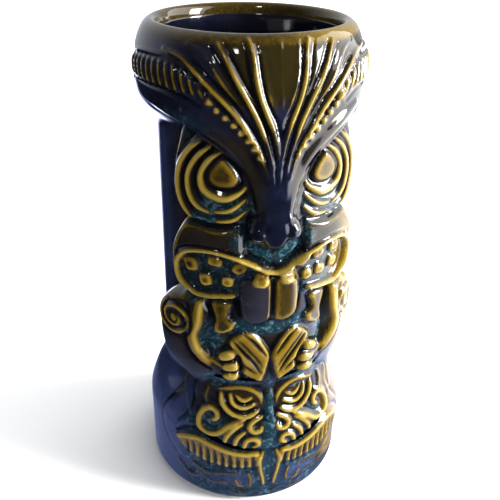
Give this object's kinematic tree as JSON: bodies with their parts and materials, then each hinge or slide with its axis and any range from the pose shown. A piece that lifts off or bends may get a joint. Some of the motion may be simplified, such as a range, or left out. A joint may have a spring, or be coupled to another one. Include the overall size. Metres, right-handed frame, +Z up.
{
  "type": "tiki mug",
  "caption": "Tall straight glazed drinking mug with a flared carved headdress round its mouth, a full-height carved figure on its front and a smaller head as its foot.",
  "frame": {"origin": "centre of the base, on the plane the mug stands on", "axes": "+Z up along the mug's axis; the figure faces -Y, and +X is the viewer's right of it"},
  "size_m": [0.0906, 0.0909, 0.2],
  "materials": {
    "navy_glaze": "gloss",
    "amber_glaze": "gloss",
    "teal_glaze": "gloss",
    "brown_glaze": "gloss",
    "lilac_glaze": "gloss",
    "bare_clay": "matte"
  },
  "bodies": {
    "root": {"vessel": "navy_glaze", "headdress": "navy_glaze", "nose": "navy_glaze", "lower_head": "navy_glaze", "lower_nose": "navy_glaze", "arm_left": "navy_glaze", "arm_right": "navy_glaze", "inner_plume_left": "amber_glaze", "inner_plume_right": "amber_glaze", "outer_plume_left": "amber_glaze", "outer_plume_right": "amber_glaze", "edge_plume_left": "amber_glaze", "edge_plume_right": "amber_glaze", "bead_band_left": "amber_glaze", "bead_band_right": "amber_glaze", "pupil_left": "amber_glaze", "pupil_right": "amber_glaze", "hand_left": "amber_glaze", "hand_right": "amber_glaze", "crest_leaf_left": "amber_glaze", "crest_leaf_right": "amber_glaze", "lower_eye_left": "amber_glaze", "lower_eye_right": "amber_glaze", "cheek_coil_left": "amber_glaze", "cheek_coil_right": "amber_glaze", "whiskers_left": "amber_glaze", "whiskers_right": "amber_glaze", "lower_teeth_left": "amber_glaze", "lower_teeth_right": "amber_glaze", "ear_left": "amber_glaze", "ear_right": "amber_glaze", "mouth": "amber_glaze", "eye_left": "teal_glaze", "eye_right": "teal_glaze", "crest_stem": "teal_glaze", "lower_face": "teal_glaze", "centre_plume": "brown_glaze", "cheek_left": "brown_glaze", "cheek_right": "brown_glaze", "jaw_left": "brown_glaze", "jaw_right": "brown_glaze", "tongue": "lilac_glaze", "foot_ring": "bare_clay"}
  },
  "joints": []
}
